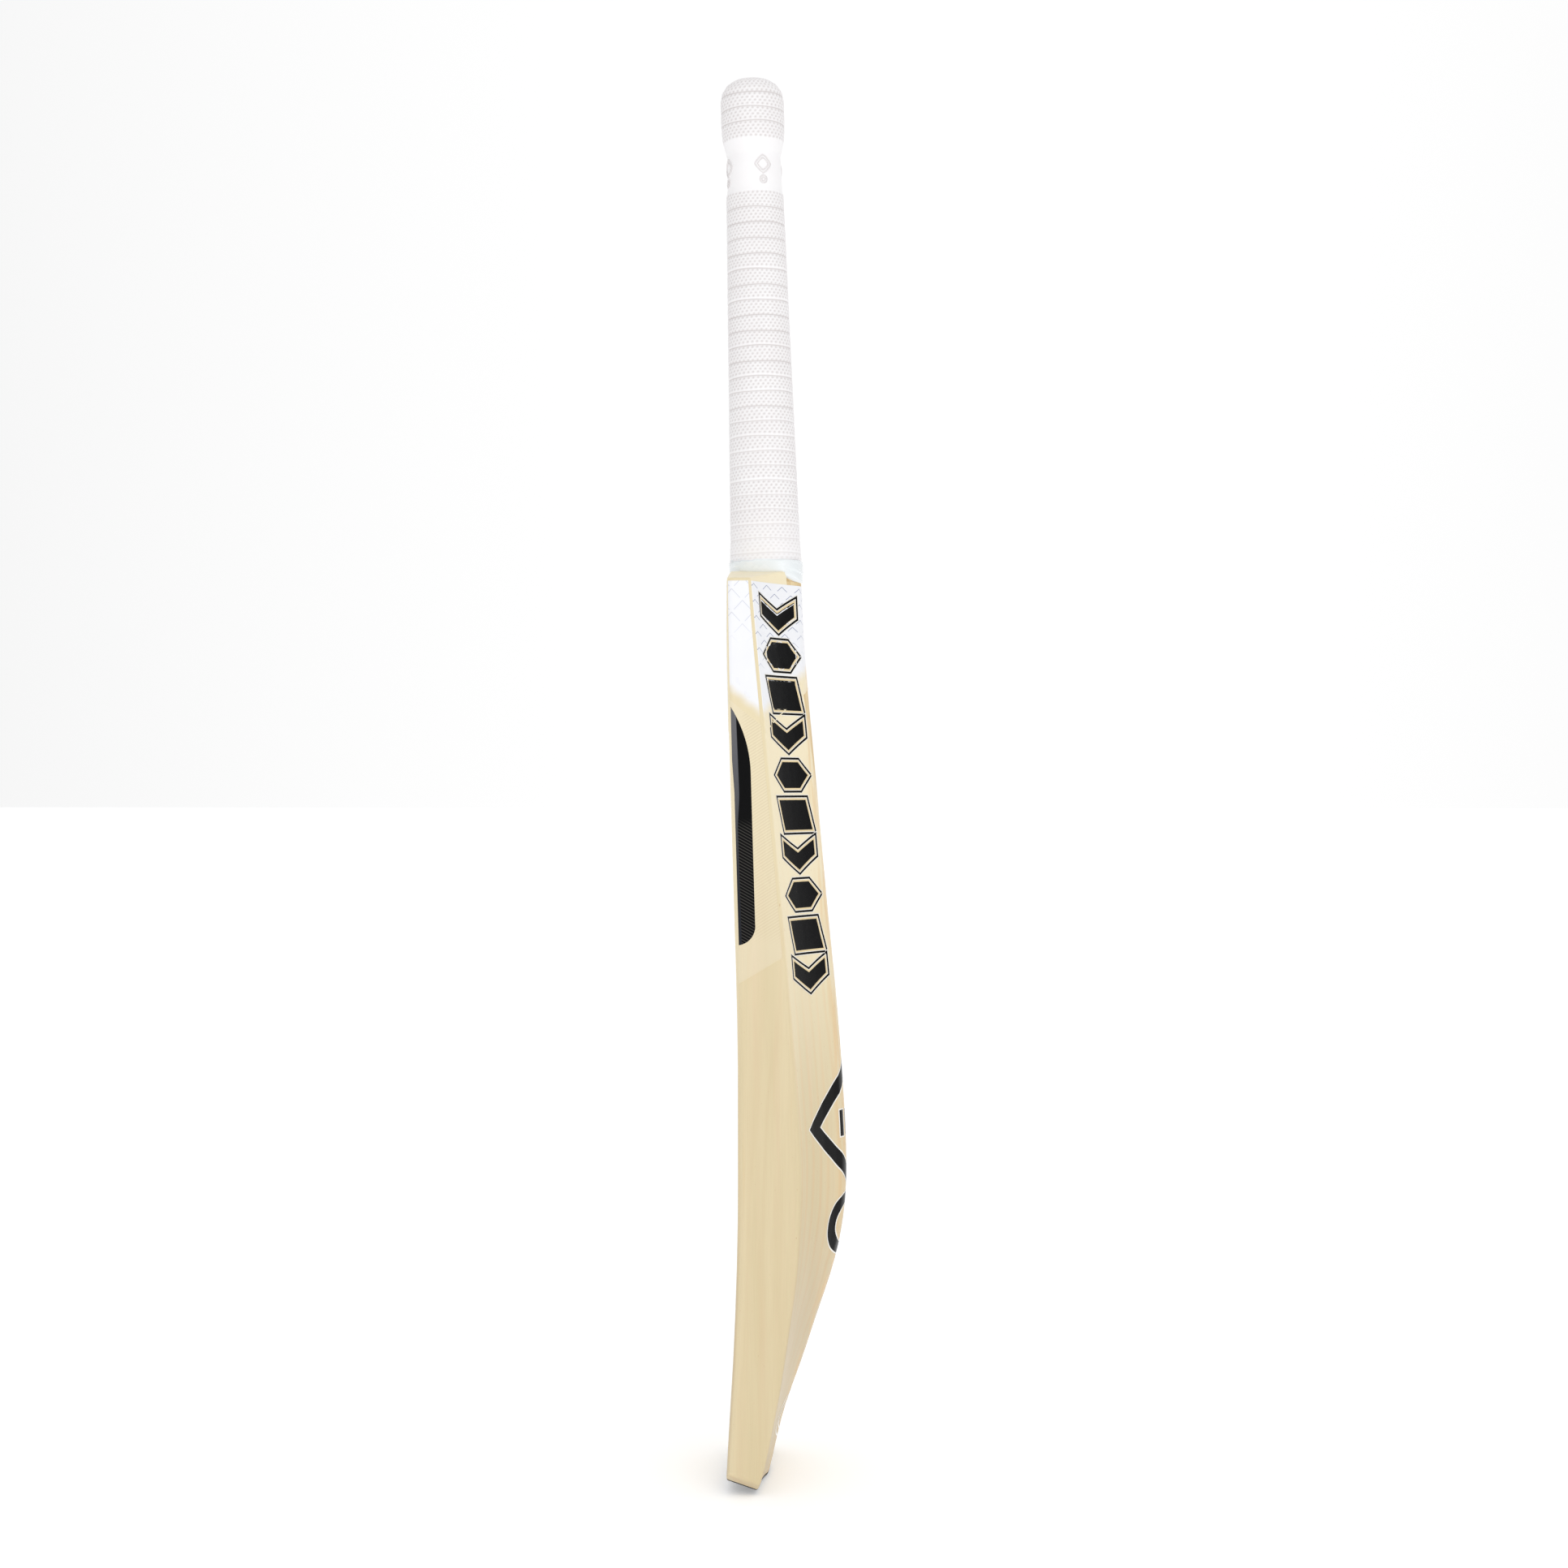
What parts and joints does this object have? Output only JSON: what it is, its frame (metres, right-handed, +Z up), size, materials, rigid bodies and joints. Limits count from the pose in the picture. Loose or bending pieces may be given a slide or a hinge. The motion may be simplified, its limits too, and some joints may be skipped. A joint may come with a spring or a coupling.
{
  "type": "cricket bat",
  "caption": "Full-size cricket bat: willow blade with a high swell and thick edges, spliced cane handle, textured rubber grip, toe guard and printed labels.",
  "frame": {"origin": "middle of the toe guard's underside", "axes": "+Z up the bat to the handle, +X across the blade, +Y out of the spine side; the playing face looks along -Y"},
  "size_m": [0.1084, 0.0782, 0.8613],
  "materials": {
    "willow": "natural willow, sanded and waxed",
    "cane": "laminated cane, oiled",
    "handle_rubber": "vulcanised sheet",
    "twine": "waxed linen",
    "grip_rubber": "moulded, matt",
    "tape": "smooth vinyl",
    "guard_rubber": "moulded, matt",
    "white_label": "printed film, fading at its end",
    "black_label": "printed film, glossy",
    "clear_film": "clear film",
    "silver_label": "printed line"
  },
  "bodies": {
    "root": {"blade": "willow", "cane_front_1": "cane", "cane_front_2": "cane", "cane_front_3": "cane", "cane_front_4": "cane", "cane_middle_1": "cane", "cane_middle_2": "cane", "cane_middle_3": "cane", "cane_middle_4": "cane", "cane_back_1": "cane", "cane_back_2": "cane", "cane_back_3": "cane", "cane_back_4": "cane", "rubber_insert_front": "handle_rubber", "rubber_insert_back": "handle_rubber", "handle_binding": "twine", "grip": "grip_rubber", "grip_tape": "tape", "toe_guard": "guard_rubber", "edge_shoulder_label_right": "white_label", "edge_shoulder_label_left": "white_label", "edge_wing_label_right": "black_label", "edge_wing_label_left": "black_label", "edge_clear_film_right": "clear_film", "edge_clear_film_left": "clear_film", "back_shoulder_label": "white_label", "back_marks_right": "black_label", "back_marks_left": "black_label", "back_emblem": "black_label", "toe_oval_label": "silver_label", "face_shoulder_label": "white_label"}
  },
  "joints": []
}
